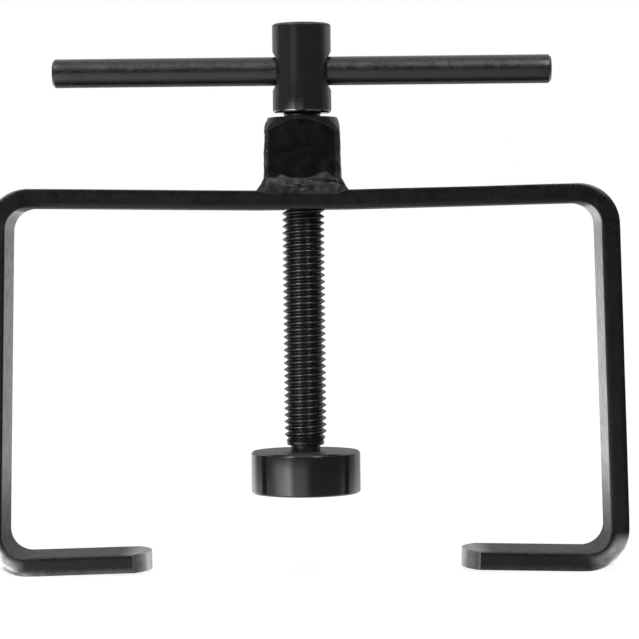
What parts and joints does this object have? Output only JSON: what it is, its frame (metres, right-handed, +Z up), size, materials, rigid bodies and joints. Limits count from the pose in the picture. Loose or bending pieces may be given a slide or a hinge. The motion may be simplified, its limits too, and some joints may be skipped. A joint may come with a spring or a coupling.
{
  "type": "clutch spring compressor",
  "caption": "Bent flat-bar frame with two in-turned hooks, and a handle-turned screw in a welded boss that drives a round swivelling pad towards the hooks.",
  "frame": {"origin": "on the screw's axis, at the level of the surface that the two hooks stand on", "axes": "+Z up along the screw towards its head, +X along the top bar and the handle, +Y through the tool's thickness"},
  "size_m": [0.1724, 0.0294, 0.147],
  "materials": {
    "frame_steel": "black oxide on rolled flat bar, satin",
    "boss_steel": "black oxide, darkened by the weld's heat",
    "weld_steel": "black oxide on a rough weld bead",
    "turned_steel": "black oxide on turned steel, oiled satin",
    "spring_steel": "phosphated spring steel"
  },
  "bodies": {
    "frame": {"frame_bar": "frame_steel", "threaded_boss": "boss_steel", "boss_weld": "weld_steel"},
    "carrier": {"pad_retaining_ring": "spring_steel"},
    "spindle": {"forcing_screw": "turned_steel", "tommy_bar": "turned_steel"},
    "pad": {"pressure_pad": "turned_steel"}
  },
  "joints": [
    {"name": "screw_feed", "type": "slide", "parent": "frame", "child": "carrier", "axis": [0, 0, 1], "range_m": [-0.00111, 0.06489]},
    {"name": "screw_turn", "type": "hinge", "parent": "carrier", "child": "spindle", "pos_m": [0, 0, 0.1344], "axis": [0, 0, 1], "range_deg": [-226, 13345]},
    {"name": "pad_swivel", "type": "hinge", "parent": "carrier", "child": "pad", "pos_m": [0, 0, 0.0265], "axis": [0, 0, 1], "continuous": true}
  ],
  "couplings": [
    {"joint": "screw_feed", "follows": "screw_turn", "m_per_rad": 0.00027852}
  ]
}
